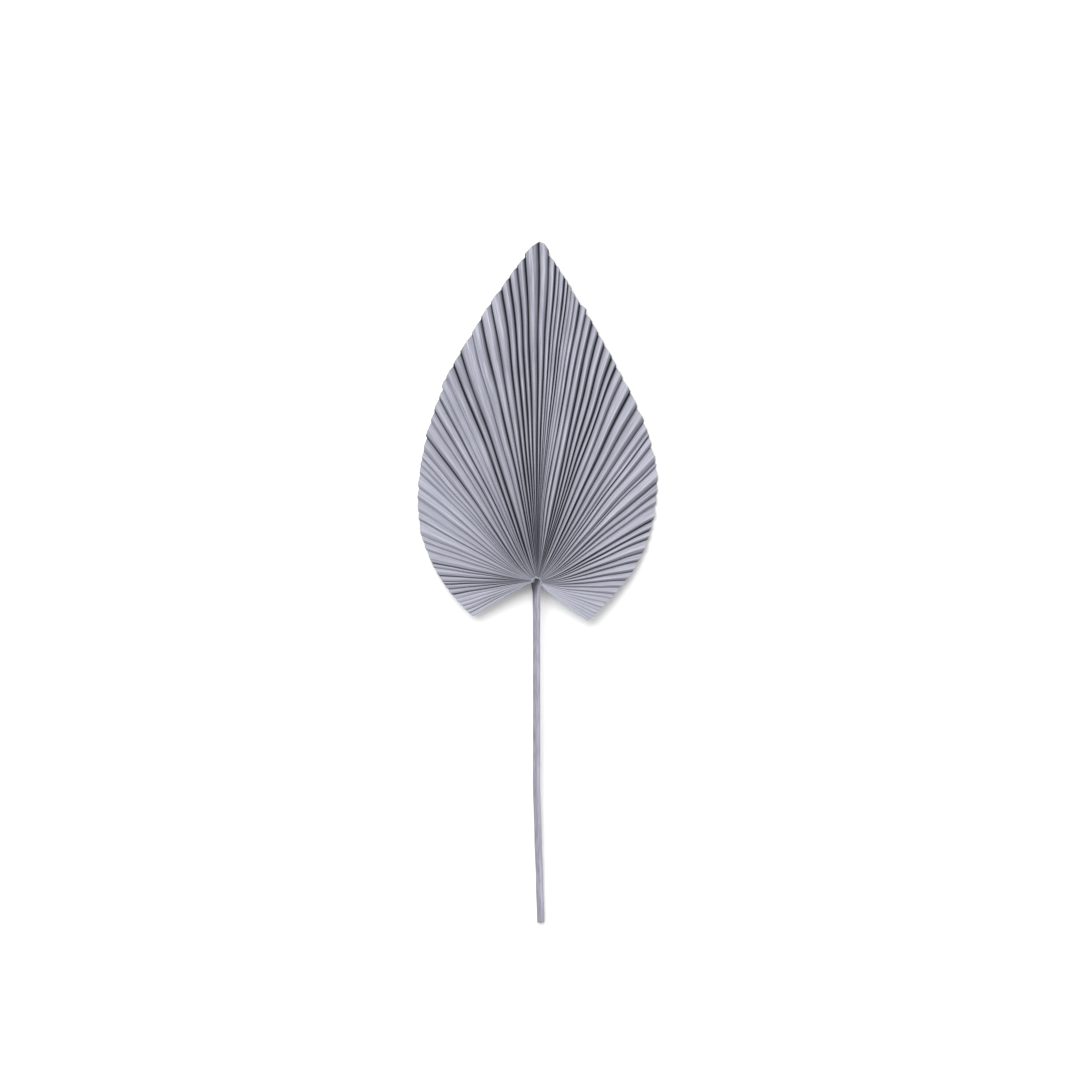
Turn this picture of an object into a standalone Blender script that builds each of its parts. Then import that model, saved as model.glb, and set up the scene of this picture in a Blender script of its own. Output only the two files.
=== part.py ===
"""Dried fan palm leaf, trimmed to a spear and spray painted, lying face up on a table.

The leaf is two solids in one body: the pleated blade and the stalk that carries it.
The hub, where every rib of the blade starts, is the drawing's own zero while it is modelled.
+Y runs from the hub to the tip, +X to the leaf's right and +Z up out of its face.
At the end both solids move together, so that the origin is the bottom centre of their box.
Lengths are in millimetres and angles in degrees, and solid() turns lengths into metres.
"""

import math
import random

import bmesh
import bpy
from mathutils import Vector
from mathutils.geometry import interpolate_bezier

MM = 0.001

# Outline of the blade: the tip, the widest point on each side and the two basal lobes.
TIP = (1.4, 279.6)
HALF_WIDTH = 98.4
LEFT_WIDEST = 62.0        # height of the widest point above the hub
RIGHT_WIDEST = 83.5
LEFT_LOBE = (-53.0, -29.5)
RIGHT_LOBE = (41.5, -33.0)
# What rounds each side: a shoulder (out, height there, height over the widest point) and a base
# (height under the widest point, out, height there).
LEFT_SHOULDER = (48.0, 219.5, 147.5)
LEFT_BASE = (20.0, 71.0, -14.0)
RIGHT_SHOULDER = (34.0, 230.0, 133.0)
RIGHT_BASE = (16.5, 64.0, -10.5)
OUTLINE_STEPS = 60        # points along each of the four curves

# Pleats: folds that run from the hub to the cut margin, with a valley on each side. One valley
# runs to the tip, and these are the angles from the tip at which the others meet the margin.
LEFT_VALLEYS = (
    2.0, 3.5, 5.1, 6.9, 9.4, 12.1, 14.9, 18.6, 21.1, 23.9, 26.2, 28.2, 31.2, 33.7, 37.8, 41.4, 43.5,
    45.3, 47.6, 51.8, 55.6, 59.8, 63.0, 68.5, 71.5, 75.0, 80.2, 82.6, 87.0, 90.4, 92.2, 95.3, 99.0,
    102.3, 105.5, 109.0, 112.3, 115.3, 119.0,
)
RIGHT_VALLEYS = (
    1.9, 3.1, 3.9, 5.0, 5.8, 6.7, 7.7, 8.8, 10.3, 11.9, 13.8, 15.9, 18.5, 20.2, 22.9, 26.2, 29.8,
    33.7, 36.3, 37.6, 40.4, 44.8, 46.1, 50.5, 54.0, 57.3, 62.4, 66.1, 69.4, 74.9, 79.1, 84.6, 89.8,
    94.9, 100.2, 104.0, 108.5, 112.5, 116.0, 119.5, 123.0, 126.0, 129.0,
)
# The lists below are read across the fan, from the left lobe (below zero) to the right one.
# Depth of a fold over half its width: tight in the middle, slack at the sides.
STEEPNESS = (
    (-119, 0.50), (-80, 0.45), (-57, 0.50), (-41, 0.85), (-21, 1.10), (22, 1.15), (51, 0.95),
    (73, 0.70), (91, 0.55), (129, 0.38),
)
# Which way a pleat leans: below zero its ridge stands nearer to its left valley.
LEAN = (
    (-119, 0.5), (-82, 0.6), (-70, -0.8), (-30, -0.8), (-19, -0.1), (-8, 0.3), (5, 0.8), (129, 1.0),
)
LEAN_SHIFT = 0.17         # how far a full lean moves the ridge, as a share of the pleat
# A rib leaves the hub more sideways than it runs on: extra angle at the hub.
HOOK = (
    (-119, 14), (-110, 9), (-99, 4), (-93, 0), (-87, -5), (-80, -10), (-68, -16), (-56, -24),
    (-47, -29), (-38, -32), (-33, -28), (-28, -18), (-21, -15), (-18, -8), (-10, 0), (-6, 3),
    (0, 0), (12, -1), (19, -3), (23, 3), (26, 10), (34, 12), (40, 24), (62, 25), (75, 27),
    (90, 23), (100, 23), (115, 19), (129, 16),
)
HOOK_FADE = 23.0          # distance over which that extra angle dies out
# Sideways bow of the middle ribs on their way up.
BOW = (
    (-130, 0), (-22, 0), (-12, 1.5), (-8, 0), (-3, 0.3), (0, -0.7), (2, -1.4), (4, -2.4),
    (6, -3.8), (9, -3.8), (10.5, -2), (12, 0.6), (16, 0.8), (19, -0.6), (23, 0), (130, 0),
)
BOW_FROM = 70.0           # distance from the hub where the ribs are bowed the most
# Pleats that were cut longer: (from angle, to angle, extra length at each).
LONGER = (
    (-26.2, -21.1, 2.2, 0.0), (-3.5, -2.0, 0.2, 2.0), (0.29, 1.9, 0.6, 2.6), (5.0, 6.7, 0.3, 1.2),
    (8.8, 10.3, 0.4, 2.6), (29.8, 33.7, -0.3, 0.7), (-37.8, -33.7, 0.9, -0.2),
)
DEEPEST_FOLD = 4.6
FOLDS_START = 8.0         # the folds are pressed shut and flat around the hub
FOLDS_FULL = 40.0
TOOTH = 0.5               # the cut margin steps out at each ridge and in at each valley
MARGIN_JITTER = 0.4
SHEET = 0.5               # thickness of the dried, painted leaf
STATIONS = 12             # points along each fold
STATION_BIAS = 1.5        # crowds those points towards the hub, where the ribs bend

# The blade is a low dome that stands on its two side margins, its tip sagging to the table.
HUB_RISE = 13.5
SIDE_DROOP = 13.0         # fall from the middle to the widest margin
TIP_DROOP = 12.0
DROOP_START = 20.0
DROOP_POWER = 1.6

# Stalk: the round leaf stem, ending in the small crown that the blade grows from.
STALK_REACH = 280.6       # from the hub down to the cut end
STALK_WIDTH = 6.2
STALK_THICK = 5.8
STALK_TAPER = 0.94        # width at the cut end over width at the hub
STALK_SAG = 1.15          # above 1: the stem sinks faster near the blade than near its end
CUT_SLANT = 1.6           # the end is cut a little on the skew
NECK_WIDTH = 7.8
NECK_REACH = 12.0
CROWN_RADIUS = 5.6
CROWN_ABOVE = 2.2         # how far the crown stands over the blade's sheet
CROWN_BELOW = 2.6
GAP = 0.4                 # clear space between the crown and the blade
SECTION_SIDES = 14
# Where the stem is measured below its crown, before the even steps down to the cut end.
NECK_STEPS = (8.0, 12.0, 20.0, 32.0)
STEM_START = 48.0
STEM_STEPS = 16
# Sideways set of the stem's middle line: (distance below the hub, offset).
STALK_BEND = ((0, 0), (16, -0.8), (165, -0.8), (212, 0.4), (246, 1.6), (280.6, 2.6))

PAINTED_LEAF = (0.47, 0.47, 0.56, 1.0)
PAINTED_STALK = (0.41, 0.40, 0.49, 1.0)

chance = random.Random(7)


def clear_scene():
    """Removes whatever the file opened with."""
    for item in list(bpy.data.objects):
        bpy.data.objects.remove(item, do_unlink=True)


def smooth_step(low, high, value):
    """0 below low, 1 above high and an S-curve between them."""
    share = min(max((value - low) / (high - low), 0.0), 1.0)
    return share * share * (3.0 - 2.0 * share)


def along(pairs, value):
    """Reads a short list of (place, amount) pairs at a place between them, on an S-curve."""
    for (start, low), (end, high) in zip(pairs, pairs[1:]):
        if value <= end:
            return low + (high - low) * smooth_step(start, end, value)
    return pairs[-1][1]


def aim(angle):
    """Unit vector at an angle from +Y, turning to +X."""
    return Vector((math.sin(math.radians(angle)), math.cos(math.radians(angle))))


def solid(name, vertices, faces, colour, roughness):
    """Makes one named object, with its own material, from points in millimetres."""
    mesh = bpy.data.meshes.new(name)
    mesh.from_pydata([[c * MM for c in point] for point in vertices], [], faces)
    shape = bmesh.new()
    shape.from_mesh(mesh)
    bmesh.ops.recalc_face_normals(shape, faces=shape.faces)
    shape.to_mesh(mesh)
    shape.free()
    mesh.shade_smooth()
    mesh.set_sharp_from_angle(angle=math.radians(35))
    material = bpy.data.materials.new(name + "_paint")
    material.use_nodes = True
    shader = material.node_tree.nodes["Principled BSDF"]
    shader.inputs["Base Color"].default_value = colour
    shader.inputs["Roughness"].default_value = roughness
    shader.inputs["Metallic"].default_value = 0.0
    mesh.materials.append(material)
    made = bpy.data.objects.new(name, mesh)
    bpy.context.scene.collection.objects.link(made)
    return made


def outline_side(side, widest, shoulder, base, lobe):
    """One side of the outline, from the tip round the widest point to the lobe's end."""
    edge = side * HALF_WIDTH
    top = [TIP, (side * shoulder[0], shoulder[1]), (edge, shoulder[2]), (edge, widest)]
    foot = [(edge, widest), (edge, base[0]), (side * base[1], base[2]), lobe]
    points = []
    for knots in (top, foot):
        points += interpolate_bezier(*[Vector((x, y, 0.0)) for x, y in knots], OUTLINE_STEPS)
    return [(math.degrees(math.atan2(p.x, p.y)), math.hypot(p.x, p.y)) for p in points]


def margin_reader():
    """Returns a function from an angle to the distance of the margin from the hub."""
    left = outline_side(-1, LEFT_WIDEST, LEFT_SHOULDER, LEFT_BASE, LEFT_LOBE)
    right = outline_side(1, RIGHT_WIDEST, RIGHT_SHOULDER, RIGHT_BASE, RIGHT_LOBE)
    whole = sorted(left + right)

    def distance(angle):
        for (start, near), (end, far) in zip(whole, whole[1:]):
            if start <= angle <= end and end > start:
                return near + (far - near) * (angle - start) / (end - start)
        return whole[0][1] if angle < 0 else whole[-1][1]

    return distance


def mid_surface(x, y):
    """Height of the low dome that the pleats are folded on."""
    side = SIDE_DROOP * (x / HALF_WIDTH) ** 2
    ahead = max(y - DROOP_START, 0.0) / (TIP[1] - DROOP_START)
    return HUB_RISE - side - TIP_DROOP * ahead ** DROOP_POWER


def extra_length(angle):
    """How much longer than the outline the leaf was left at an angle."""
    for low, high, at_low, at_high in LONGER:
        if low < angle < high:
            return at_low + (at_high - at_low) * (angle - low) / (high - low)
    return 0.0


def fold_lines():
    """Valleys and ridges from the left lobe to the right, as (angle, width, fold)."""
    tip_angle = math.degrees(math.atan2(TIP[0], TIP[1]))
    valleys = [-angle for angle in reversed(LEFT_VALLEYS)] + [tip_angle, *RIGHT_VALLEYS]
    widths = [end - start for start, end in zip(valleys, valleys[1:])]
    lines = []
    for index, (start, width) in enumerate(zip(valleys, widths)):
        beside = widths[max(index - 1, 0):index + 1]
        middle = start + width / 2
        ridge = middle + LEAN_SHIFT * along(LEAN, middle) * width
        lines += [(start, sum(beside) / len(beside), -1), (ridge, width, 1)]
    return lines + [(valleys[-1], widths[-1], -1)]


def rib_point(angle, distance, reach):
    """Where the rib that meets the margin at an angle runs, at a distance from the hub."""
    fade = math.exp(-distance / HOOK_FADE) - math.exp(-reach / HOOK_FADE)
    grown = smooth_step(0, BOW_FROM, distance)
    bow = along(BOW, angle) * grown * (1 - smooth_step(BOW_FROM, reach, distance))
    return distance * aim(angle + along(HOOK, angle) * fade + math.degrees(bow / distance))


def make_blade():
    """The pleated sheet, with one column of points on each valley and each ridge."""
    margin = margin_reader()
    inner = CROWN_RADIUS + GAP
    columns = fold_lines()
    upper = []
    lower = []
    for angle, width, fold in columns:
        reach = margin(angle) + fold * TOOTH + chance.uniform(-MARGIN_JITTER, MARGIN_JITTER)
        reach += extra_length(angle)
        for station in range(STATIONS):
            distance = inner + (reach - inner) * (station / (STATIONS - 1)) ** STATION_BIAS
            spot = rib_point(angle, distance, reach)
            depth = 0.5 * along(STEEPNESS, angle) * math.radians(width) * distance
            depth = min(depth, DEEPEST_FOLD) * smooth_step(FOLDS_START, FOLDS_FULL, distance)
            height = mid_surface(spot.x, spot.y) + 0.5 * fold * depth
            upper.append((spot.x, spot.y, height + SHEET / 2))
            lower.append((spot.x, spot.y, height - SHEET / 2))

    count = len(upper)
    faces = []
    for column in range(len(columns) - 1):
        for station in range(STATIONS - 1):
            a = column * STATIONS + station
            b = a + STATIONS
            faces += [(a, a + 1, b), (b, a + 1, b + 1)]
            faces += [(count + a, count + b, count + a + 1), (count + b, count + b + 1, count + a + 1)]
    rim = [column * STATIONS for column in range(len(columns))]
    rim += list(range(count - STATIONS + 1, count))
    rim += [column * STATIONS + STATIONS - 1 for column in range(len(columns) - 2, -1, -1)]
    rim += list(range(STATIONS - 2, 0, -1))
    for here, there in zip(rim, rim[1:] + rim[:1]):
        faces += [(here, there, count + here), (there, count + there, count + here)]
    return upper + lower, faces


def stalk_width(below):
    """Half width of the stem at a distance below the hub, and of the crown above it."""
    tail = STALK_WIDTH / 2 * (1 - (1 - STALK_TAPER) * max(below, 0.0) / STALK_REACH)
    neck = NECK_WIDTH / 2 - STALK_WIDTH / 2
    width = tail + neck * (1 - smooth_step(0.0, NECK_REACH, below))
    if abs(below) < CROWN_RADIUS:
        crown = math.sqrt(CROWN_RADIUS ** 2 - below ** 2)
        width = max(width, crown) if below > 0 else crown
    return width


def make_stalk(hub_height):
    """The stem, lofted from its cut end on the table up to the crown at the hub."""
    crown_steps = [CROWN_RADIUS * math.sin(math.radians(a)) for a in range(-80, 70, 20)]
    length = STALK_REACH - STEM_START
    stem_steps = [*NECK_STEPS]
    stem_steps += [STEM_START + length * step / STEM_STEPS for step in range(STEM_STEPS + 1)]
    vertices = []
    rings = 0
    for below in crown_steps + stem_steps:
        half = stalk_width(below)
        crown = 1 - smooth_step(CROWN_RADIUS * 0.5, NECK_REACH * 2, below)
        drop = max(below, 0.0) / STALK_REACH
        end_height = STALK_THICK * STALK_TAPER / 2
        middle = end_height + (hub_height - end_height) * (1 - drop) ** STALK_SAG
        thin = STALK_THICK / 2 * (1 - (1 - STALK_TAPER) * drop)
        edge = min(1.0, half / (CROWN_RADIUS * 0.5)) if below < 0 else 1.0
        above = (thin + (CROWN_ABOVE - thin) * crown) * edge
        beneath = (thin + (CROWN_BELOW - thin) * crown) * edge
        at_end = below > STALK_REACH - 0.01
        for side in range(SECTION_SIDES):
            turn = 2 * math.pi * side / SECTION_SIDES
            across = half * math.cos(turn)
            up = math.sin(turn) * (above if math.sin(turn) > 0 else beneath)
            slant = CUT_SLANT * (across / half * 0.35 + up / thin * 0.65) / 2 if at_end else 0.0
            vertices.append((along(STALK_BEND, max(below, 0.0)) + across, slant - below, middle + up))
        rings += 1
    faces = [tuple(range(SECTION_SIDES))]
    for ring in range(rings - 1):
        for side in range(SECTION_SIDES):
            a = ring * SECTION_SIDES + side
            b = ring * SECTION_SIDES + (side + 1) % SECTION_SIDES
            faces.append((a, b, b + SECTION_SIDES, a + SECTION_SIDES))
    faces.append(tuple(range((rings - 1) * SECTION_SIDES, rings * SECTION_SIDES)))
    return vertices, faces


def stand(points):
    """Lifts the points until the lowest one touches the table."""
    lowest = min(point[2] for point in points)
    return [(x, y, z - lowest) for x, y, z in points], -lowest


def centre(pieces):
    """Moves all the points together, so that the box's bottom centre is the origin."""
    everything = [point for points in pieces for point in points]
    low = [min(point[axis] for point in everything) for axis in range(3)]
    high = [max(point[axis] for point in everything) for axis in range(3)]
    shift = ((low[0] + high[0]) / 2, (low[1] + high[1]) / 2, low[2])
    return [[tuple(c - s for c, s in zip(point, shift)) for point in points] for points in pieces]


clear_scene()
blade_points, blade_faces = make_blade()
blade_points, lift = stand(blade_points)
stalk_points, stalk_faces = make_stalk(HUB_RISE + lift)
blade_points, stalk_points = centre([blade_points, stalk_points])
solid("leaf_blade", blade_points, blade_faces, PAINTED_LEAF, 0.62)
solid("leaf_stalk", stalk_points, stalk_faces, PAINTED_STALK, 0.55)
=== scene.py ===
import math
import random
from types import SimpleNamespace

import bpy
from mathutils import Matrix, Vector, noise
from mathutils.geometry import interpolate_bezier


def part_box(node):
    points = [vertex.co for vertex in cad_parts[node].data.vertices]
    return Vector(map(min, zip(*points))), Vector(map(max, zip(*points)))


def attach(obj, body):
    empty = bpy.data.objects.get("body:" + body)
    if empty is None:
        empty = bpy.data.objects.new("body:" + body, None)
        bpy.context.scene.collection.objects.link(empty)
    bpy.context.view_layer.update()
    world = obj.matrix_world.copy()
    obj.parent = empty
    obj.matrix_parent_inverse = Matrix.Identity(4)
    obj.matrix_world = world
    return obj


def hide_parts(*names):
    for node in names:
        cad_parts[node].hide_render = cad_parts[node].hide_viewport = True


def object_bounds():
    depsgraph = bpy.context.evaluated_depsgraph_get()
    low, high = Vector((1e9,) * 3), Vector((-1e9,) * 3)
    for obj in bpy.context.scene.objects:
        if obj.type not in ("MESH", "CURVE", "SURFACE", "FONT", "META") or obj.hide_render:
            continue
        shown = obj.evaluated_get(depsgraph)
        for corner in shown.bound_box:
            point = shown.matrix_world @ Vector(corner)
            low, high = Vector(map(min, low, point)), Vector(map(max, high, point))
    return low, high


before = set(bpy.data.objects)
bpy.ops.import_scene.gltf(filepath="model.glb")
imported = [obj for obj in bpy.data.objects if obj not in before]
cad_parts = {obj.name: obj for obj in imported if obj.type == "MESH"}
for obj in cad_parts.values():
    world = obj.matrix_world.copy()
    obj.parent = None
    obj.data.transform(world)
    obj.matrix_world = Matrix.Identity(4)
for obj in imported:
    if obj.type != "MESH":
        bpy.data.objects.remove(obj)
cad_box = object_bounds()
MM = 0.001


# ---- Leaf blade --------------------------------------------------------------------------------
# One fan palm leaf, pressed half open, dried, cut to a spear with scissors and spray painted.
# It is a single sheet about half a millimetre thick, folded into 82 pleats that all start at
# the stalk's crown. It lies face up on its two side margins, as a low dome.

chance = random.Random(7)

# The hub, where all the pleats meet, is zero while the leaf is drawn. +Y runs to the tip and +X
# to the right. Lengths are in millimetres, and angles in degrees from +Y towards +X.
TIP = (1.4, 279.6)
HALF_WIDTH = 98.4
LEFT_WIDEST = 62.0        # height of the widest point above the hub
RIGHT_WIDEST = 83.5
LEFT_LOBE = (-53.0, -29.5)
RIGHT_LOBE = (41.5, -33.0)
# What rounds each side: a shoulder (out, height there, height over the widest point) and a base
# (height under the widest point, out, height there).
LEFT_SHOULDER = (48.0, 219.5, 147.5)
LEFT_BASE = (20.0, 71.0, -14.0)
RIGHT_SHOULDER = (34.0, 230.0, 133.0)
RIGHT_BASE = (16.5, 64.0, -10.5)
OUTLINE_STEPS = 60        # points along each of the four curves
# Every valley between two pleats, from the tip outward: (angle where it meets the margin, how
# dark the painted shade in the fold is there). A fold pressed nearly flat gets pale painted shade.
LEFT_VALLEYS = (
    (2.0, 0.95), (3.5, 0.90), (5.1, 1.00), (6.9, 1.00), (9.4, 0.75), (12.1, 0.90), (14.9, 0.50),
    (18.6, 0.90), (21.1, 1.00), (23.9, 0.30), (26.2, 0.20), (28.2, 0.70), (31.2, 0.60), (33.7, 0.25),
    (37.8, 0.75), (41.4, 0.35), (43.5, 0.30), (45.3, 0.15), (47.6, 0.20), (51.8, 0.25), (55.6, 0.35),
    (59.8, 0.15), (63.0, 0.40), (68.5, 0.25), (71.5, 0.25), (75.0, 0.20), (80.2, 0.75), (82.6, 0.60),
    (87.0, 0.80), (90.4, 0.60), (92.2, 0.70), (95.3, 0.70), (99.0, 0.80), (102.3, 0.35),
    (105.5, 0.40), (109.0, 0.50), (112.3, 0.55), (115.3, 0.55), (119.0, 0.20),
)
TIP_DARK = 0.9            # the same for the valley that runs to the tip
RIGHT_VALLEYS = (
    (1.9, 0.85), (3.1, 0.80), (3.9, 0.60), (5.0, 0.90), (5.8, 0.85), (6.7, 0.20), (7.7, 0.35),
    (8.8, 0.85), (10.3, 0.75), (11.9, 1.00), (13.8, 1.00), (15.9, 0.85), (18.5, 1.00), (20.2, 1.00),
    (22.9, 0.60), (26.2, 0.95), (29.8, 0.60), (33.7, 0.60), (36.3, 0.30), (37.6, 0.75), (40.4, 0.50),
    (44.8, 0.45), (46.1, 0.45), (50.5, 0.65), (54.0, 0.55), (57.3, 0.20), (62.4, 0.85), (66.1, 0.90),
    (69.4, 0.70), (74.9, 0.70), (79.1, 0.65), (84.6, 0.62), (89.8, 0.55), (94.9, 0.42), (100.2, 0.35),
    (104.0, 0.20), (108.5, 0.10), (112.5, 0.15), (116.0, 0.10), (119.5, 0.10), (123.0, 0.10),
    (126.0, 0.05), (129.0, 0.05),
)

stalk_low, stalk_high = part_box("leaf_stalk")
CROWN_REACH = 5.515       # from the hub to the far edge of the crown on top of the stalk
CROWN_ABOVE = 2.2         # and to its highest point
hub = Vector((
    (stalk_low[0] + stalk_high[0]) / 2, stalk_high[1] - CROWN_REACH * MM,
    stalk_high[2] - CROWN_ABOVE * MM,
))
hub_height = hub.z / MM


def smooth_step(low, high, value):
    """0 below low, 1 above high and an S-curve between them."""
    share = min(max((value - low) / (high - low), 0.0), 1.0)
    return share * share * (3.0 - 2.0 * share)


def along(pairs, value):
    """Reads a short list of (place, amount) pairs at a place between them, on an S-curve."""
    for (start, low), (end, high) in zip(pairs, pairs[1:]):
        if value <= end:
            return low + (high - low) * smooth_step(start, end, value)
    return pairs[-1][1]


def aim(angle):
    """Unit vector at an angle from +Y, turning to +X."""
    return Vector((math.sin(math.radians(angle)), math.cos(math.radians(angle))))


def outline_side(side, widest, shoulder, base, lobe):
    """One side of the outline, from the tip round the widest point to the lobe's end."""
    edge = side * HALF_WIDTH
    top = [TIP, (side * shoulder[0], shoulder[1]), (edge, shoulder[2]), (edge, widest)]
    foot = [(edge, widest), (edge, base[0]), (side * base[1], base[2]), lobe]
    points = []
    for knots in (top, foot):
        points += interpolate_bezier(*[Vector((x, y, 0.0)) for x, y in knots], OUTLINE_STEPS)
    return [(math.degrees(math.atan2(p.x, p.y)), math.hypot(p.x, p.y)) for p in points]


outline = sorted(
    outline_side(-1, LEFT_WIDEST, LEFT_SHOULDER, LEFT_BASE, LEFT_LOBE)
    + outline_side(1, RIGHT_WIDEST, RIGHT_SHOULDER, RIGHT_BASE, RIGHT_LOBE)
)


def margin(angle):
    """Distance of the cut margin from the hub at an angle."""
    for (start, near), (end, far) in zip(outline, outline[1:]):
        if start <= angle <= end and end > start:
            return near + (far - near) * (angle - start) / (end - start)
    return outline[0][1] if angle < 0 else outline[-1][1]


# The lists below are read across the fan, from the left lobe (below zero) to the right one.
# Which way the pleats lean, and so which of their two faces is steeper and takes painted shade.
LEAN = (
    (-119, 0.5), (-82, 0.6), (-70, -0.8), (-30, -0.8), (-19, -0.1), (-8, 0.3), (5, 0.8), (129, 1.0),
)
LEAN_SHIFT = 0.17         # how far a full lean moves the ridge, as a share of the pleat
RIDGE_JITTER = 0.07       # the same, by chance
CREASE_CHANCE = 0.6       # part of the faces carry a faint second crease
CREASE_PLACE = (0.34, 0.74)       # share of the way up the face
CREASE_STRENGTH = (0.25, 0.7)
CREASE_HALF = 0.055       # half its width, as a share of the face
MARGIN_JITTER = 0.4       # the scissors leave each fold a little longer or shorter

tip_angle = math.degrees(math.atan2(TIP[0], TIP[1]))
valleys = [(-angle, dark) for angle, dark in reversed(LEFT_VALLEYS)]
valleys += [(tip_angle, TIP_DARK)] + list(RIGHT_VALLEYS)
pleats = [(start[0], end[0]) for start, end in zip(valleys, valleys[1:])]
trims = [chance.uniform(-MARGIN_JITTER, MARGIN_JITTER) for _ in range(2 * len(pleats) + 1)]
face_tone = [chance.uniform(-1.0, 1.0) for _ in range(2 * len(pleats))]
ridges = []
creases = []
for start, end in pleats:
    middle = (start + end) / 2
    shift = LEAN_SHIFT * along(LEAN, middle) + chance.uniform(-RIDGE_JITTER, RIDGE_JITTER)
    ridges.append(middle + shift * (end - start))
    for _ in range(2):
        held = chance.random() < CREASE_CHANCE
        place = chance.uniform(*CREASE_PLACE)
        creases.append((place, chance.uniform(*CREASE_STRENGTH) if held else 0.0))

# Pleats that the scissors left longer: (from angle, to angle, extra at each).
LONGER = (
    (-37.8, -33.7, 0.9, -0.2), (-26.2, -21.1, 2.2, 0.0), (-2.0, 0.29, 1.9, 0.0), (0.29, 1.9, 0.6, 2.6),
    (5.0, 6.7, 0.3, 1.2), (8.8, 10.3, 0.4, 2.6), (29.8, 33.7, -0.3, 0.7),
)
SAME_ANGLE = 0.01         # two angles closer than this are one
BLUNT = 1.6               # the pleat on the tip's right is cut round
SQUARER = 0.14            # each pleat is cut squarer than the outline, so the margin steps at valleys
TOOTH = 0.25              # and a ridge reaches this much further than the outline
RAGGED = 0.25             # how uneven the cut is within a pleat


def cut_length(pleat, valley, share, angle):
    """Distance from the hub where the scissors cut a pleat, at one angle of it."""
    start, end = pleats[pleat]
    length = margin(angle) + SQUARER * (margin((start + end) / 2) - margin(angle))
    length += TOOTH * (2 * share - 1)
    length += trims[2 * valley] * (1 - share) + trims[2 * pleat + 1] * share
    length += RAGGED * noise.noise(Vector((angle * 1.6, 1.7, 0.0)))
    for low, high, at_low, at_high in LONGER:
        if low - SAME_ANGLE <= start and end <= high + SAME_ANGLE:
            length += at_low + (at_high - at_low) * (angle - low) / (high - low)
    if start == tip_angle:
        length += BLUNT * share
    return length


# Depth of a fold over half its width: tight in the middle, slack at the sides.
STEEPNESS = (
    (-119, 0.30), (-104, 0.36), (-96, 0.50), (-80, 0.45), (-57, 0.50), (-41, 0.85), (-21, 1.10),
    (22, 1.15), (51, 0.95), (73, 0.70), (91, 0.50), (105, 0.32), (129, 0.24),
)
# A rib leaves the crown more sideways than it runs on: extra angle at the hub.
HOOK = (
    (-119, 14), (-110, 9), (-99, 4), (-93, 0), (-87, -5), (-80, -10), (-68, -16), (-56, -24),
    (-47, -29), (-38, -32), (-33, -28), (-28, -18), (-21, -15), (-18, -8), (-10, 0), (-6, 3),
    (0, 0), (12, -1), (19, -3), (23, 3), (26, 10), (34, 12), (40, 24), (62, 25), (75, 27),
    (90, 23), (100, 23), (115, 19), (129, 16),
)
HOOK_FADE = 23.0          # distance over which that extra angle dies out
# Sideways bow of the middle ribs on their way up, in millimetres.
BOW = (
    (-130, 0), (-22, 0), (-12, 1.5), (-8, 0), (-3, 0.3), (0, -0.7), (2, -1.4), (4, -2.4),
    (6, -3.8), (9, -3.8), (10.5, -2), (12, 0.6), (16, 0.8), (19, -0.6), (23, 0), (130, 0),
)
BOW_FROM = 70.0           # distance from the hub where the ribs are bowed the most
SWAY = 0.5                # degrees that a rib wanders off its line
# The middle of the fan is gathered tightest: its angle, and how far from it that holds and ends.
GATHER_MIDDLE = 4.0
GATHER_FADE = (20, 60)
# How the coat's tone changes across the fan: darker over the left middle, paler on the lobes.
COAT = (
    (-119, 0.20), (-103, 0.25), (-92, 0.0), (-82, -0.30), (-60, -0.55), (-44, -0.45), (-24, 0.0),
    (92, 0.0), (104, 0.45), (129, 0.60),
)
DARKEST = 0.985


def column_at(pleat, side, share, creased=0.0):
    """A column of points from hub to margin: share is 0 in a valley and 1 on the pleat's ridge."""
    start, end = pleats[pleat]
    foot = end if side else start
    valley = pleat + side
    beside = pleats[max(valley - 1, 0):valley + 1]
    angle = foot + (ridges[pleat] - foot) * share
    lean = along(LEAN, angle)
    return SimpleNamespace(
        pleat=pleat,
        valley=valley,
        share=share,
        angle=angle,
        creased=creased,
        width=math.radians(end - start),
        valley_width=math.radians(sum(high - low for low, high in beside) / len(beside)),
        face=math.radians(abs(ridges[pleat] - foot)),
        reach=cut_length(pleat, valley, share, angle),
        steepness=along(STEEPNESS, angle),
        hook=along(HOOK, angle),
        bow=along(BOW, angle),
        gather=1.0 - smooth_step(*GATHER_FADE, abs(angle - GATHER_MIDDLE)),
        shaded=max(lean if side else -lean, 0.0),
        crisp=side == (0 if lean > 0 else 1),
        dark=min(valleys[valley][1], DARKEST),
        tone=face_tone[2 * pleat + side],
        coat=along(COAT, angle),
    )


FACE_STEPS = (0.0, 0.05, 0.13, 0.27, 0.46, 0.68, 0.88)
columns = []
for pleat in range(len(pleats)):
    for side in range(2):
        fold, strength = creases[2 * pleat + side]
        steps = FACE_STEPS
        if strength > 0:
            steps = (0.0, 0.05, 0.17, fold - CREASE_HALF, fold, fold + CREASE_HALF, 0.88)
        shares = [1.0] + sorted(steps[1:], reverse=True) if side else steps
        for share in shares:
            columns.append(column_at(pleat, side, share, strength if share == fold else 0.0))
columns.append(column_at(len(pleats) - 1, 1, 0.0))


def fan_spot(column, r, t):
    """Where a column's point lies, seen from above: r from the hub, t of the way to the margin."""
    bowed = column.bow * smooth_step(0, BOW_FROM, r) * (1 - smooth_step(BOW_FROM, column.reach, r))
    hooked = column.hook * (math.exp(-r / HOOK_FADE) - math.exp(-column.reach / HOOK_FADE))
    sway = SWAY * noise.noise(Vector((column.angle / 7.0, t * 4.0, 4.2))) * smooth_step(0.05, 0.5, t)
    return r * aim(column.angle + hooked + math.degrees(bowed / r) + sway)


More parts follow.
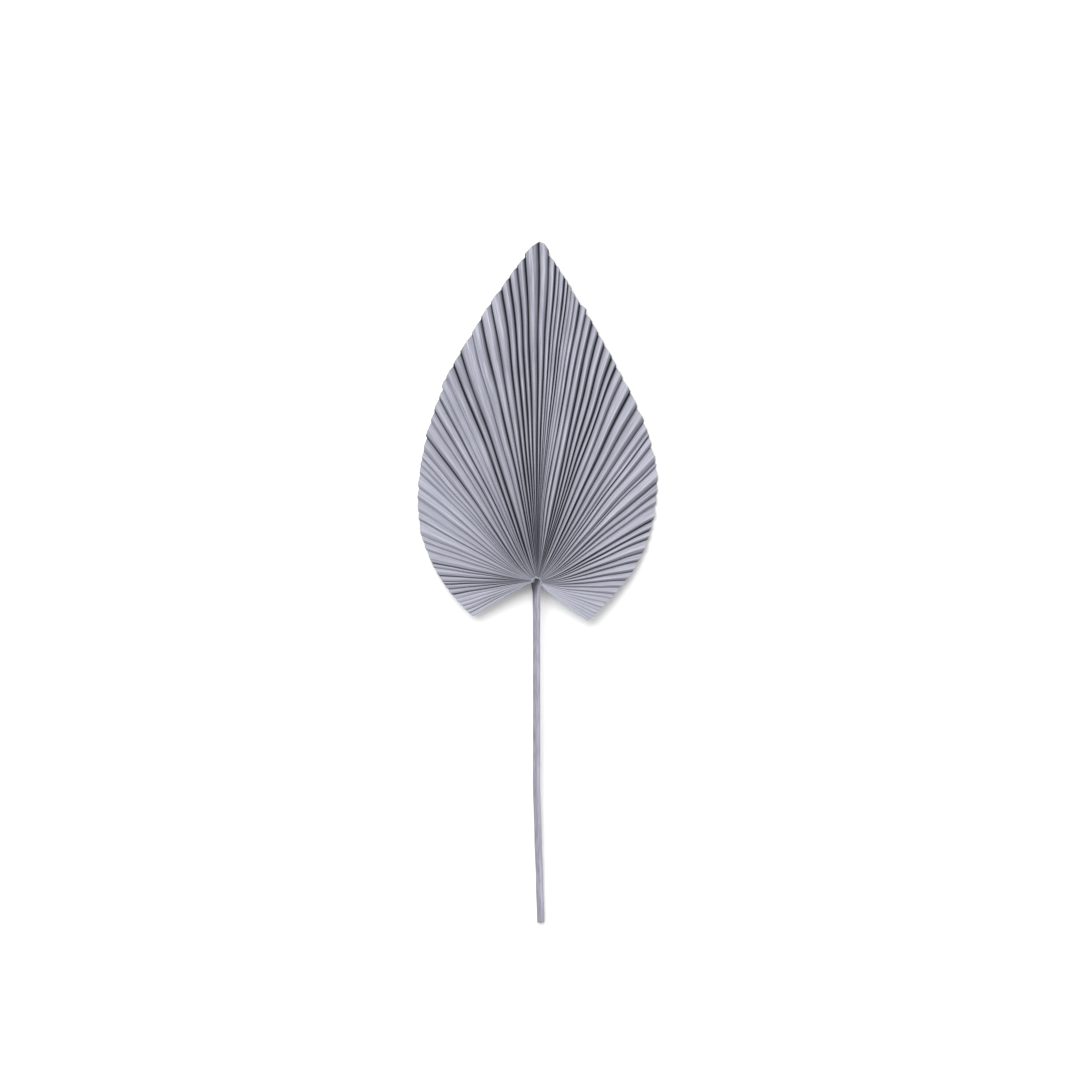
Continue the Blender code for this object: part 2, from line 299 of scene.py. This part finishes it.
DEEPEST_FOLD = 4.6
FOLDS_START = 3.0         # distances from the hub where the folds begin and are fully shut
FOLDS_FULL = 26.0
ROUNDNESS = 0.22          # how far a ridge is rounded and not a sharp fold
LOOSENESS = 0.22          # how much a pleat's depth varies on its way up
SQUEEZE = 0.9             # the folds are this much deeper close to the hub
SQUEEZE_FADE = (20, 110)
CREASE_DEPTH = 0.16
CREASE_FADE = (30, 80)


def fold_height(column, r, t):
    """Height of a pleat's face over the dome that the leaf is folded on."""
    share = column.share
    rise = (1 - ROUNDNESS) * share + ROUNDNESS * (1 - (1 - share) ** 2)
    loose = 1.0 + LOOSENESS * noise.noise(Vector((column.pleat * 5.3, t * 3.0, 8.8)))
    shut = smooth_step(FOLDS_START, FOLDS_FULL, r)
    top = min(0.5 * column.steepness * column.width * r, DEEPEST_FOLD) * shut * loose
    foot = min(0.5 * column.steepness * column.valley_width * r, DEEPEST_FOLD) * shut
    tight = 1.0 + SQUEEZE * (1.0 - smooth_step(*SQUEEZE_FADE, r))
    height = tight * (-0.5 * foot + (0.5 * top + 0.5 * foot) * rise)
    return height - CREASE_DEPTH * column.creased * smooth_step(*CREASE_FADE, r)


SIDE_DROOP = 13.0
TIP_DROOP = 12.0
DROOP_START = 20.0
DROOP_POWER = 1.6


def dome_height(x, y):
    """Height over the hub of the low dome that the pleats are folded on."""
    side = SIDE_DROOP * (x / HALF_WIDTH) ** 2
    ahead = max(y - DROOP_START, 0.0) / (TIP[1] - DROOP_START)
    return -side - TIP_DROOP * ahead ** DROOP_POWER


# Painted shade in the folds. A valley keeps a dark band along its bottom: its half width in
# millimetres, what a dark fold and a gathered one add to it, and its share on the lit face.
BAND = 0.28
BAND_DARK = 0.80
BAND_GATHERED = 0.28
BAND_CRISP = 0.65
BAND_WIDEST = 0.66        # share of the face that it fills at most
BAND_HUB = 0.75           # its share close to the hub
BAND_HUB_FADE = (20, 120)
DRIFT = 0.35              # how much a fold's darkness varies on its way up, every 45 mm or so
DRIFT_LENGTH = 45.0
# How much painted shade falls: low on every face, on a gathered or a shaded one, close to the hub in
# the gathered middle, close to the hub everywhere but on the lobes, and in a second crease.
LOW_DIM = 0.12
LOW_GATHERED = 0.12
LOW_SHADED = 0.46
MIDDLE_DIM = 0.14
MIDDLE_FADE = (20, 190)
HUB_DIM = 0.19
HUB_FADE = (15, 75)
LOBE_ANGLES = (90, 105)
CREASE_DIM = 0.45
CREASE_DIM_FADE = (25, 70)


def paint_reach(column, r):
    """Share of light left under the painted shade: 0 at the bottom of a dark fold, 1 in the open."""
    narrow = BAND_HUB + (1 - BAND_HUB) * smooth_step(*BAND_HUB_FADE, r)
    band = (BAND + (BAND_DARK + BAND_GATHERED * column.gather) * column.dark ** 1.6) * narrow
    if column.crisp:
        band *= BAND_CRISP
    band = min(band, BAND_WIDEST * column.face * r)
    drift = 1.0 + DRIFT * noise.noise(Vector((column.valley * 3.7, r / DRIFT_LENGTH, 6.1)))
    core = min(1.1 * column.dark * drift, 0.99)
    low = LOW_DIM + LOW_GATHERED * column.gather + LOW_SHADED * column.shaded
    off_lobes = 1.0 - smooth_step(*LOBE_ANGLES, abs(column.angle))
    # Painted shade: a dark band along the valley's bottom, then less light down the face, round the
    # hub and in a crease.
    light_left = 1.0 - core * math.exp(-(column.share * column.face * r / band) ** 3.0)
    light_left *= 1.0 - low * core * (1.0 - column.share) ** 1.2
    light_left *= 1.0 - MIDDLE_DIM * column.gather * (1.0 - smooth_step(*MIDDLE_FADE, r))
    light_left *= 1.0 - HUB_DIM * (1.0 - smooth_step(*HUB_FADE, r)) * off_lobes
    light_left *= 1.0 - CREASE_DIM * column.creased * smooth_step(*CREASE_DIM_FADE, r)
    return max(light_left, 0.0)


# How pale the coat is: on a face as such, by chance, darker with painted shade on the shaded face,
# and paler with a painted highlight along the crest.
TONE = 0.45
TONE_CHANCE = 0.35
TONE_SHADED = 0.35
TONE_HIGHLIGHT = 0.6
HIGHLIGHT_LINE = 0.4          # half width of the painted highlight along a ridge
HIGHLIGHT_FADE = (8, 30)


def coat_tone(column, r):
    """How pale the coat is at a point, with painted shade and a painted highlight in it."""
    from_crest = (1.0 - column.share) * column.face * r
    crest = TONE_HIGHLIGHT * math.exp(-(from_crest / HIGHLIGHT_LINE) ** 2) * smooth_step(*HIGHLIGHT_FADE, r)
    return TONE + TONE_CHANCE * column.tone - TONE_SHADED * column.shaded + column.coat + crest


SHEET = 0.45
BLADE_START = 2.6         # the sheet starts under the crown
ROWS = 42
ROW_POWER = 1.2           # rows stand closer together near the hub
SWELL = 0.7               # slow waves of the dried sheet, every 42 mm or so
SWELL_LENGTH = 42.0
SWELL_FADE = (20, 90)
ON_TABLE = 0.02           # the lowest parts of the sheet lie this far above the table
TIP_RUBBED = (0.4, 1.3)   # at these angles the paint is rubbed off further in from the margin
TIP_RUBBED_SHARE = 0.3

upper = []
lower = []
unshaded_up = []
edge_up = []
tone_up = []
fan_uv = []
for column in columns:
    rubbed = TIP_RUBBED_SHARE if TIP_RUBBED[0] < column.angle < TIP_RUBBED[1] else 1.0
    for row in range(ROWS):
        t = (row / (ROWS - 1)) ** ROW_POWER
        r = BLADE_START + (column.reach - BLADE_START) * t
        x, y = fan_spot(column, r, t)
        swell = SWELL * noise.noise(Vector((x / SWELL_LENGTH, y / SWELL_LENGTH, 2.5)))
        z = dome_height(x, y) + fold_height(column, r, t) + swell * smooth_step(*SWELL_FADE, r)
        z = max(z, ON_TABLE + SHEET / 2 - hub_height)
        upper.append((x, y, z + SHEET / 2))
        lower.append((x, y, z - SHEET / 2))
        unshaded_up.append(paint_reach(column, r))
        tone_up.append(coat_tone(column, r))
        edge_up.append((1.0 - t) * column.reach * rubbed)
        fan_uv.append((column.angle, r))


def grid(first, columns, rows, turned):
    """Faces between neighbouring columns of points, wound one way or turned over."""
    quads = []
    for c in range(columns - 1):
        for row in range(rows - 1):
            a = first + c * rows + row
            b = a + rows
            quads.append((a, b, b + 1, a + 1) if turned else (a, a + 1, b + 1, b))
    return quads


count = len(upper)
vertices = [(x * MM + hub.x, y * MM + hub.y, z * MM + hub.z) for x, y, z in upper + lower]
faces = grid(0, len(columns), ROWS, False)
under_start = len(faces)
faces += grid(count, len(columns), ROWS, True)
rim_start = len(faces)
# The rim closes the sheet all round: the hub's edge, the right lobe, the margin, the left lobe.
rim = [c * ROWS for c in range(len(columns))]
rim += list(range(count - ROWS + 1, count))
rim += [c * ROWS + ROWS - 1 for c in range(len(columns) - 2, -1, -1)]
rim += list(range(ROWS - 2, 0, -1))
for here, there in zip(rim, rim[1:] + rim[:1]):
    faces.append((here, there, count + there, count + here))

SHARP_ANGLE = math.radians(50)


def add_piece(name, vertices, faces):
    """A smooth mesh object from its points, in metres, and its faces."""
    mesh = bpy.data.meshes.new(name)
    mesh.from_pydata(vertices, [], faces)
    mesh.update()
    mesh.shade_smooth()
    piece = bpy.data.objects.new(name, mesh)
    bpy.context.scene.collection.objects.link(piece)
    return piece


def store(piece, name, values):
    """Keeps a number at each point of a piece, for its material to read."""
    layer = piece.data.attributes.new(name, "FLOAT", "POINT")
    layer.data.foreach_set("value", values)


BACK_DARK = 0.35          # how dark the folds of the back are against those of the face

blade = add_piece("palm_blade", vertices, faces)
blade.data.set_sharp_from_angle(angle=SHARP_ANGLE)
# The painted shade of the folds, on the face and, weaker, on the back.
store(blade, "paint_reach", unshaded_up + [1.0 - BACK_DARK * (1.0 - v) for v in unshaded_up])
store(blade, "from_margin", edge_up + edge_up)
store(blade, "coat_tone", tone_up + tone_up)

# Two maps: "fan" holds each point's angle and distance from the hub, for the fibres, and OFBake
# lays the face and the back side by side.
BAKE_SPAN = 410.0         # millimetres across the whole OFBake map
BAKE_FACE = (0.005, 0.01)     # where the face's corner lies on it, and the back's
BAKE_BACK = (0.5, 0.01)
BAKE_FOOT = 40.0          # the lobes stay within this distance below the hub
fan = blade.data.uv_layers.new(name="fan")
flat = blade.data.uv_layers.new(name="OFBake")
corner = [0] * len(blade.data.loops)
blade.data.loops.foreach_get("vertex_index", corner)
fan_flat = []
bake_flat = []
for polygon in blade.data.polygons:
    beneath = under_start <= polygon.index < rim_start
    for loop in polygon.loop_indices:
        point = corner[loop]
        fan_flat += fan_uv[point % count]
        x, y, z = vertices[point]
        left, low = BAKE_BACK if beneath else BAKE_FACE
        bake_flat.append(left + (x - cad_box[0][0]) / (BAKE_SPAN * MM))
        bake_flat.append(low + (y - hub.y + BAKE_FOOT * MM) / (BAKE_SPAN * MM))
fan.data.foreach_set("uv", fan_flat)
flat.data.foreach_set("uv", bake_flat)


def paint(code):
    """Linear colour of an sRGB hex code."""
    parts = [int(code[i:i + 2], 16) / 255 for i in (1, 3, 5)]
    return [p / 12.92 if p <= 0.04045 else ((p + 0.055) / 1.055) ** 2.4 for p in parts] + [1.0]


def add(tree, kind, inputs=None, **settings):
    """Adds a shader node: its settings, then each input, as a value or as (node, output)."""
    made = tree.nodes.new("ShaderNode" + kind)
    for name, value in settings.items():
        setattr(made, name, value)
    for name, value in (inputs or {}).items():
        if isinstance(value, tuple) and isinstance(value[0], bpy.types.Node):
            tree.links.new(value[0].outputs[value[1]], made.inputs[name])
        else:
            made.inputs[name].default_value = value
    return made


def new_material(name):
    """A material and its empty node tree."""
    material = bpy.data.materials.new(name)
    material.use_nodes = True
    material.node_tree.nodes.clear()
    return material, material.node_tree


# Flat spray paint on dry palm leaf: a chalky grey-lilac coat without gloss over fine parallel
# fibres, with painted shade darkening the bottoms of the folds.
# The fibres are 0.3 to 0.5 mm apart. They spread with the fan, so they are drawn 3.6 to a degree,
# which is 0.5 mm apart at 100 mm from the hub and 1 mm at 200 mm, as fine as shows.
FIBRES = (3.6, 0.03, 1.0)     # per degree across and per millimetre along: streaks of 33 mm
CLOUDS = 26.0                 # per metre: a spray can's passes leave patches of about 38 mm
# Paint droplets are 0.1 mm across, too fine to show, so the grain is drawn 0.9 mm across.
GRAIN = 1100.0
PAINT_IOR = 1.48

painted_leaf, tree = new_material("matt_spray_paint_on_palm_leaf")
uv = add(tree, "UVMap", uv_map="fan")
place = add(tree, "TexCoord")
strands = add(tree, "VectorMath", {0: (uv, "UV"), 1: FIBRES}, operation="MULTIPLY")
fibre = add(tree, "TexNoise", {"Vector": (strands, 0), "Scale": 1.0, "Detail": 3.0, "Roughness": 0.6})
clouds = add(tree, "TexNoise", {"Vector": (place, "Object"), "Scale": CLOUDS, "Detail": 3.0})
grain = add(tree, "TexNoise", {"Vector": (place, "Object"), "Scale": GRAIN, "Detail": 2.0})
# The coat: thin over the fibres, cloudy, grainy, and toned: at random, across the fan, darker with
# painted shade on the shaded faces and paler with a painted highlight along the ridges.
thin = add(tree, "MapRange", {0: (fibre, 0), 1: 0.38, 2: 0.66, 3: 0.0, 4: 1.0})
coat = add(tree, "Mix", {0: (thin, 0), 6: paint("#8B8C98"), 7: paint("#B5B6C2")}, data_type="RGBA")
cloudy = add(tree, "MapRange", {0: (clouds, 0), 1: 0.35, 2: 0.7, 3: 0.0, 4: 0.22})
mottled = add(tree, "Mix", {0: (cloudy, 0), 6: (coat, 2), 7: paint("#9294A0")}, data_type="RGBA")
speck = add(tree, "MapRange", {0: (grain, 0), 1: 0.3, 2: 0.75, 3: 0.0, 4: 0.16})
dusty = add(tree, "Mix", {0: (speck, 0), 6: (mottled, 2), 7: paint("#C0C0CC")}, data_type="RGBA")
tone_read = add(tree, "Attribute", attribute_name="coat_tone")
uneven = add(tree, "MapRange", {0: (tone_read, 2), 1: -0.4, 2: 1.0, 3: 0.34, 4: 0.0})
lit_and_shaded_coat = add(tree, "Mix", {0: (uneven, 0), 6: (dusty, 2), 7: paint("#565663")}, data_type="RGBA")
# Painted shade, near black, deep in the folds, and the bare straw-coloured leaf along the cut margin.
shade_mask = add(tree, "Attribute", attribute_name="paint_reach")
shade_mix = add(tree, "Mix", {0: (shade_mask, 2), 6: paint("#12111C"), 7: (lit_and_shaded_coat, 2)}, data_type="RGBA")
from_edge = add(tree, "Attribute", attribute_name="from_margin")
raw = add(tree, "MapRange", {0: (from_edge, 2), 1: 0.1, 2: 0.9, 3: 0.45, 4: 0.0})
cut = add(tree, "Mix", {0: (raw, 0), 6: (shade_mix, 2), 7: paint("#A39C8E")}, data_type="RGBA")
ribbed = add(tree, "Bump", {"Strength": 0.8, "Distance": 0.22 * MM, "Height": (fibre, 0)})
relief = add(tree, "Bump", {
    "Strength": 0.35, "Distance": 0.06 * MM, "Height": (grain, 0), "Normal": (ribbed, 0),
})
shader = add(tree, "BsdfPrincipled", {
    "Base Color": (cut, 2), "Roughness": 0.75, "IOR": PAINT_IOR, "Specular IOR Level": 0.2,
    "Normal": (relief, 0),
})
add(tree, "OutputMaterial", {"Surface": (shader, 0)})

# Dry leaf where the scissors cut through it: an unpainted straw-coloured edge, dull and even.
cut_leaf, tree = new_material("cut_dry_palm_fibre")
shader = add(tree, "BsdfPrincipled", {"Base Color": paint("#A89F90"), "Roughness": 0.8, "IOR": 1.45})
add(tree, "OutputMaterial", {"Surface": (shader, 0)})

blade.data.materials.append(painted_leaf)
blade.data.materials.append(cut_leaf)
for polygon in blade.data.polygons[rim_start:]:
    polygon.material_index = 1
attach(blade, "root")
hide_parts("leaf_blade")


# ---- Stalk -------------------------------------------------------------------------------------
# The leaf's own stem, dried hard: nearly round, with a shallow channel along its face and fine
# fibres along its length. It is cut on the skew at the foot and painted with the blade.

STALK_REACH = 280.6       # from the hub to the foot
STALK_WIDTH = 6.2
STALK_THICK = 5.8
STALK_TAPER = 0.94        # the foot's size against the top's
STALK_SAG = 1.15          # power of the curve on which it comes down to the table
CUT_SLANT = 1.6
CUT_ACROSS = 0.35         # the parts of that slant that run across the stem and up it
CUT_UP = 0.65
NECK_WIDTH = 8.8          # it widens to this under the crown
NECK_REACH = 13.0
NECK_SHIFT = 0.9          # and stands this far to the left there
NECK_THIN = 0.3           # and is this much thinner, its top this far above the hub
NECK_TOP = 0.1
COSTA = 12.0              # it runs on this far under the blade, narrows and thins out
COSTA_NARROW = 0.75
COSTA_THIN = 0.8
UNDER_BLADE = 0.1
CHANNEL = 1.0             # depth of the channel, its middle and its half width across the face
CHANNEL_MIDDLE = -0.35
CHANNEL_HALF = 0.5
# Sideways bend: (distance from the hub, how far to the right the stem's middle is there).
STALK_BEND = ((0, 0), (16, -0.8), (165, -0.8), (212, 0.4), (246, 1.6), (280.6, 2.6))
WOBBLE = 0.15
LUMPS = 0.06
STRANDS = 9               # low ridges round the stem
STRAND_HEIGHT = 0.05
SIDES = 40
STALK_ROWS = 110
STALK_ROW_POWER = 1.15    # rings stand closer together at the top
# A painted shadow darkens the top of the stem, under the blade, further down on its left side, and
# painted shade darkens the left half of its face.
SHELTER = 16.0
SHELTER_SKEW = 8.0
SHADOW_DARK = 0.96
LEFT_SHADE = 0.34
LEFT_FADE = (-0.1, 0.6)

end_height = STALK_THICK * STALK_TAPER / 2
points = []
stalk_unshaded = []
for ring in range(STALK_ROWS + 1):
    below = -COSTA + (STALK_REACH + COSTA) * (ring / STALK_ROWS) ** STALK_ROW_POWER
    drop = max(below, 0.0) / STALK_REACH
    taper = 1 - (1 - STALK_TAPER) * drop
    neck = 1 - smooth_step(0.0, NECK_REACH, below)
    tucked = 1 - smooth_step(-1.0, 8.0, below)
    half = STALK_WIDTH / 2 * taper + (NECK_WIDTH - STALK_WIDTH) / 2 * neck
    thin = STALK_THICK / 2 * taper
    top = end_height + (hub_height - end_height) * (1 - drop) ** STALK_SAG + thin
    top += (hub_height + NECK_TOP - top) * tucked
    if below < 0:
        narrow = smooth_step(0.0, COSTA, -below)
        half *= 1 - COSTA_NARROW * narrow
        thin *= 1 - COSTA_THIN * narrow
        top = hub_height + dome_height(0.0, -below) - UNDER_BLADE
    thin *= 1 - NECK_THIN * tucked
    middle = top - thin
    centre_x = along(STALK_BEND, max(below, 0.0))
    centre_x += WOBBLE * noise.noise(Vector((below / 30.0, 3.1, 0.0)))
    centre_x -= NECK_SHIFT * (1 - smooth_step(0.0, NECK_REACH, abs(below)))
    for side in range(SIDES):
        turn = 2 * math.pi * side / SIDES
        sway = math.cos(turn)
        rough = LUMPS * noise.noise(Vector((sway * 1.5, math.sin(turn) * 1.5, below / 6.0)))
        rough += STRAND_HEIGHT * math.sin(turn * STRANDS + below / 40.0)
        across = sway * (half + rough)
        up = math.sin(turn) * (thin + rough)
        if up > 0:
            level = thin * (1 - abs(sway) ** 3.5) ** 0.5
            dip = max(1 - ((sway - CHANNEL_MIDDLE) / CHANNEL_HALF) ** 2, 0.0)
            channel = CHANNEL * dip * (0.5 + 0.5 * (1 - drop))
            up += (level - channel - up) * (1 - tucked)
        slant = 0.0
        if ring == STALK_ROWS:
            slant = CUT_SLANT * (across / half * CUT_ACROSS + up / thin * CUT_UP) / 2
        points.append((centre_x + across, slant - below, max(middle + up, 0.0)))
        # Painted shadow of the blade on the stem's top, and painted shade on the left half of its
        # face.
        shadowed = 1 - smooth_step(0.0, SHELTER, below + SHELTER_SKEW * sway)
        left_shade = LEFT_SHADE * (1 - smooth_step(*LEFT_FADE, sway)) if up > 0 else 0.0
        stalk_unshaded.append((1.0 - SHADOW_DARK * shadowed) * (1.0 - left_shade))


def tube(first, last, sides, turned):
    """Faces between rings of points that follow one another, wound one way or turned over."""
    quads = []
    for ring in range(first, last):
        for side in range(sides):
            a = ring * sides + side
            b = ring * sides + (side + 1) % sides
            quads.append((a, b, b + sides, a + sides) if turned else (a, a + sides, b + sides, b))
    return quads


# The cut foot is dished: two smaller rings, each (its size, how far it is set in), and a cap.
FOOT_RINGS = ((0.86, 0.05), (0.5, 0.22))
stalk_faces = tube(0, STALK_ROWS, SIDES, False)
stalk_faces.append(tuple(range(SIDES)))
foot_start = len(stalk_faces)
foot_edge = [Vector(point) for point in points[STALK_ROWS * SIDES:]]
foot_middle = sum(foot_edge, Vector()) / SIDES
for scale, dent in FOOT_RINGS:
    for point in foot_edge:
        spot = foot_middle + (point - foot_middle) * scale
        points.append((spot.x, spot.y + dent, spot.z))
        stalk_unshaded.append(1.0)
last_ring = STALK_ROWS + len(FOOT_RINGS)
stalk_faces += tube(STALK_ROWS, last_ring, SIDES, False)
stalk_faces.append(tuple(range((last_ring + 1) * SIDES - 1, last_ring * SIDES - 1, -1)))

stalk = add_piece(
    "palm_stalk", [(x * MM + hub.x, y * MM + hub.y, z * MM) for x, y, z in points], stalk_faces,
)
stalk.data.set_sharp_from_angle(angle=SHARP_ANGLE)
store(stalk, "paint_reach", stalk_unshaded)

# The same flat spray paint, a little warmer and smoother on the hard stem: pale streaks along its
# fibres, a near black painted shadow where the blade overhangs it and painted shade on its left half.
STALK_FIBRES = (1600.0, 22.0, 1600.0)     # per metre: fibres 0.6 mm apart, in streaks of 45 mm

painted_stalk, tree = new_material("matt_spray_paint_on_dry_stalk")
place = add(tree, "TexCoord")
strands = add(tree, "VectorMath", {0: (place, "Object"), 1: STALK_FIBRES}, operation="MULTIPLY")
fibre = add(tree, "TexNoise", {"Vector": (strands, 0), "Scale": 1.0, "Detail": 3.0})
grain = add(tree, "TexNoise", {"Vector": (place, "Object"), "Scale": GRAIN, "Detail": 2.0})
thin = add(tree, "MapRange", {0: (fibre, 0), 1: 0.35, 2: 0.68, 3: 0.0, 4: 1.0})
coat = add(tree, "Mix", {0: (thin, 0), 6: paint("#8C8A98"), 7: paint("#B0AEBC")}, data_type="RGBA")
shade_mask = add(tree, "Attribute", attribute_name="paint_reach")
shade_mix = add(tree, "Mix", {0: (shade_mask, 2), 6: paint("#1A1924"), 7: (coat, 2)}, data_type="RGBA")
ribbed = add(tree, "Bump", {"Strength": 0.5, "Distance": 0.12 * MM, "Height": (fibre, 0)})
relief = add(tree, "Bump", {
    "Strength": 0.3, "Distance": 0.06 * MM, "Height": (grain, 0), "Normal": (ribbed, 0),
})
shader = add(tree, "BsdfPrincipled", {
    "Base Color": (shade_mix, 2), "Roughness": 0.65, "IOR": PAINT_IOR, "Specular IOR Level": 0.3,
    "Normal": (relief, 0),
})
add(tree, "OutputMaterial", {"Surface": (shader, 0)})

# The cut foot of the stem: bare dry pith, straw brown, dull and greyed by a little overspray,
# dotted with the darker ends of its fibre bundles.
BUNDLES = 1900.0              # per metre: bundles about half a millimetre apart

cut_stalk, tree = new_material("cut_dry_stalk_pith")
place = add(tree, "TexCoord")
bundles = add(tree, "TexVoronoi", {"Vector": (place, "Object"), "Scale": BUNDLES})
dots = add(tree, "MapRange", {0: (bundles, 0), 1: 0.15, 2: 0.45, 3: 0.0, 4: 1.0})
pith = add(tree, "Mix", {0: (dots, 0), 6: paint("#4A443C"), 7: paint("#7E786E")}, data_type="RGBA")
shader = add(tree, "BsdfPrincipled", {"Base Color": (pith, 2), "Roughness": 0.85, "IOR": 1.45})
add(tree, "OutputMaterial", {"Surface": (shader, 0)})

stalk.data.materials.append(painted_stalk)
stalk.data.materials.append(cut_stalk)
for polygon in stalk.data.polygons[foot_start:]:
    polygon.material_index = 1
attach(stalk, "root")
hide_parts("leaf_stalk")


# ---- Crown -------------------------------------------------------------------------------------
# The hard rim that holds the blade together at the stem: it comes in along one basal edge, runs
# over the top of the stem as a low crest, fluted by the ribs that set off from it, and leaves
# along the other basal edge. It has grown with the leaf and wears the same paint.

CREST = ((-4.6, 4.0), (4.2, 4.2))     # handles of the crest's curve over the stem
CREST_THICK = 0.80
EDGE_THICK = 0.45
EDGE_THIN = 0.12
CREST_STEPS = 90
EDGE_ROWS = (3, 20)       # the rows of the blade's two basal edges that the rim follows
RIM_SIDES = 16
RIM_OUTER = 1.25          # how much thicker it is on its outer side, and thinner on its inner
RIM_INNER = 0.9
RIM_FLAT = 0.75
FLUTES = 17
FLUTE_DEPTH = 0.14
LUMPINESS = 0.25
WANDER = 0.4

first_edge = [Vector(upper[row]) for row in range(*EDGE_ROWS)]
last_edge = [Vector(upper[count - ROWS + row]) for row in range(*EDGE_ROWS)]
handles = [Vector((x, y, 0.0)) for x, y in CREST]
crest = interpolate_bezier(first_edge[0], *handles, last_edge[0], CREST_STEPS)
rim_line = first_edge[:0:-1] + crest + last_edge[1:]
rim_points = []
for step, spot in enumerate(rim_line):
    along_crest = (step - len(first_edge) + 1) / (CREST_STEPS - 1)
    inside = min(max(along_crest, 0.0), 1.0)
    past = max(-along_crest, along_crest - 1.0, 0.0) * (CREST_STEPS - 1) / len(first_edge)
    ahead = rim_line[min(step + 1, len(rim_line) - 1)] - rim_line[max(step - 1, 0)]
    outward = Vector((-ahead.y, ahead.x, 0.0)).normalized()
    fat = EDGE_THICK + (CREST_THICK - EDGE_THICK) * math.sin(math.pi * inside) ** 0.7
    fat += (EDGE_THIN - EDGE_THICK) * min(past, 1.0)
    fat *= 1.0 + LUMPINESS * noise.noise(Vector((step / 8.0, 0.3, 7.0)))
    phase = FLUTES * inside + 1.6 * noise.noise(Vector((step / 9.0, 2.2, 4.0)))
    fat += FLUTE_DEPTH * math.sin(math.pi * inside) * math.sin(2 * math.pi * phase)
    wander = WANDER * noise.noise(Vector((step / 12.0, 5.0, 1.0)))
    sheet_z = hub_height + dome_height(spot.x, max(spot.y, 0.0))
    for side in range(RIM_SIDES):
        spin = 2 * math.pi * side / RIM_SIDES
        wide = RIM_OUTER if math.cos(spin) > 0 else RIM_INNER
        point = spot + outward * (wide * fat * math.cos(spin) + wander)
        rim_points.append((point.x, point.y, sheet_z + RIM_FLAT * fat * math.sin(spin)))
last_ring = len(rim_line) - 1
rim_faces = tube(0, last_ring, RIM_SIDES, True)
rim_faces.append(tuple(range(RIM_SIDES - 1, -1, -1)))
rim_faces.append(tuple(range(last_ring * RIM_SIDES, (last_ring + 1) * RIM_SIDES)))
crown = add_piece(
    "palm_crown", [(x * MM + hub.x, y * MM + hub.y, z * MM) for x, y, z in rim_points], rim_faces,
)

# The same flat spray paint on the crown's rough, woody lumps: a painted highlight on their tops
# and painted shade, dull grey, between them.
CROWN_LUMPS = 700.0           # per metre: lumps of about 1.4 mm

painted_crown, tree = new_material("matt_spray_paint_on_rough_crown")
place = add(tree, "TexCoord")
lumps = add(tree, "TexNoise", {"Vector": (place, "Object"), "Scale": CROWN_LUMPS, "Detail": 4.0})
lump_shading = add(tree, "MapRange", {0: (lumps, 0), 1: 0.30, 2: 0.60, 3: 0.0, 4: 1.0})
coat = add(tree, "Mix", {0: (lump_shading, 0), 6: paint("#55555F"), 7: paint("#9696A3")}, data_type="RGBA")
relief = add(tree, "Bump", {"Strength": 0.7, "Distance": 0.12 * MM, "Height": (lumps, 0)})
shader = add(tree, "BsdfPrincipled", {
    "Base Color": (coat, 2), "Roughness": 0.75, "IOR": PAINT_IOR, "Specular IOR Level": 0.2,
    "Normal": (relief, 0),
})
add(tree, "OutputMaterial", {"Surface": (shader, 0)})
crown.data.materials.append(painted_crown)
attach(crown, "root")
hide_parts("leaf_stalk")


# ---- Table, light and camera -------------------------------------------------------------------
# A plain white table under a large soft lamp at the leaf's upper left, with even white fill.
# The camera looks straight down on the leaf's face. Lengths here are in metres.

TABLE_HALF = 3.0
table_mesh = bpy.data.meshes.new("table")
table_corners = [(x * TABLE_HALF, y * TABLE_HALF, 0) for x, y in ((-1, -1), (1, -1), (1, 1), (-1, 1))]
table_mesh.from_pydata(table_corners, [], [(0, 1, 2, 3)])
table = bpy.data.objects.new("table", table_mesh)
bpy.context.scene.collection.objects.link(table)
# Matt white laminate: an even white without gloss or pattern.
white, tree = new_material("white_laminate")
shader = add(tree, "BsdfPrincipled", {"Base Color": paint("#F4F4F4"), "Roughness": 0.7})
add(tree, "OutputMaterial", {"Surface": (shader, 0)})
table_mesh.materials.append(white)

FILL = 0.79
world = bpy.data.worlds.new("studio")
bpy.context.scene.world = world
world.use_nodes = True
world.node_tree.nodes["Background"].inputs["Color"].default_value = (1.0, 1.0, 1.0, 1.0)
world.node_tree.nodes["Background"].inputs["Strength"].default_value = FILL
bpy.context.scene.view_settings.view_transform = "Standard"

LAMP_SIZE = 2.2
LAMP_WATTS = 80.0
LAMP_DISTANCE = 2.6
LAMP_FROM = (-0.35, 0.62, 1.0)
lamp = bpy.data.lights.new("soft_lamp", "AREA")
lamp.shape = "RECTANGLE"
lamp.size = LAMP_SIZE
lamp.size_y = LAMP_SIZE
lamp.energy = LAMP_WATTS
lamp_object = bpy.data.objects.new("soft_lamp", lamp)
bpy.context.scene.collection.objects.link(lamp_object)
lamp_aim = Vector(LAMP_FROM).normalized()
lamp_object.location = lamp_aim * LAMP_DISTANCE
lamp_object.rotation_euler = lamp_aim.to_track_quat("Z", "Y").to_euler()

VIEW_WIDTH = 0.888
VIEW_MIDDLE = (0.00206, 0.0333)       # from the hub
CAMERA_HEIGHT = 3.0
SENSOR = 36.0             # in millimetres, like the lens
camera = bpy.data.cameras.new("camera")
camera.sensor_width = SENSOR
camera.lens = SENSOR * CAMERA_HEIGHT / VIEW_WIDTH
camera.clip_end = 50.0
camera_object = bpy.data.objects.new("camera", camera)
camera_object.location = (hub.x + VIEW_MIDDLE[0], hub.y + VIEW_MIDDLE[1], CAMERA_HEIGHT)
bpy.context.scene.collection.objects.link(camera_object)
bpy.context.scene.camera = camera_object
